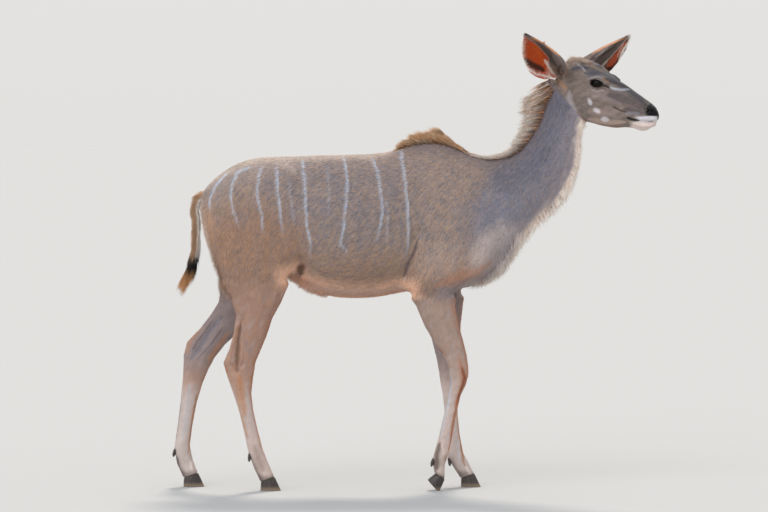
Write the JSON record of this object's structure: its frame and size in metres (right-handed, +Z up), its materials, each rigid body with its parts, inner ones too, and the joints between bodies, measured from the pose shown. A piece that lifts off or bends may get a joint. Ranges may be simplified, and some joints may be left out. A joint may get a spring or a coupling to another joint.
{
  "type": "greater kudu",
  "caption": "Hornless greater kudu cow standing with one foreleg half bent, head raised and turned to its right, with a crest of hair from withers to poll.",
  "frame": {"origin": "on the floor, under the middle of the animal's box", "axes": "+X from tail to head, +Y to the animal's left, +Z up"},
  "size_m": [1.746, 0.3964, 1.6381],
  "materials": {
    "coat": "short matt hair over skin, fawn to grey-brown",
    "horn": "dark horny keratin with a low sheen",
    "eye": "wet, dark brown"
  },
  "bodies": {
    "root": {"barrel": "coat", "chest": "coat", "ear_left": "coat", "ear_right": "coat", "eye_left": "eye", "eye_right": "eye", "fore_left_cannon": "coat", "fore_left_dewclaw_left": "horn", "fore_left_dewclaw_right": "horn", "fore_left_foot": "coat", "fore_left_hoof_left": "horn", "fore_left_hoof_right": "horn", "fore_left_upper": "coat", "fore_right_cannon": "coat", "fore_right_dewclaw_left": "horn", "fore_right_dewclaw_right": "horn", "fore_right_foot": "coat", "fore_right_hoof_left": "horn", "fore_right_hoof_right": "horn", "fore_right_upper": "coat", "haunches": "coat", "head": "coat", "hind_left_cannon": "coat", "hind_left_dewclaw_left": "horn", "hind_left_dewclaw_right": "horn", "hind_left_foot": "coat", "hind_left_hoof_left": "horn", "hind_left_hoof_right": "horn", "hind_left_upper": "coat", "hind_right_cannon": "coat", "hind_right_dewclaw_left": "horn", "hind_right_dewclaw_right": "horn", "hind_right_foot": "coat", "hind_right_hoof_left": "horn", "hind_right_hoof_right": "horn", "hind_right_upper": "coat", "neck": "coat", "tail": "coat"}
  },
  "joints": []
}
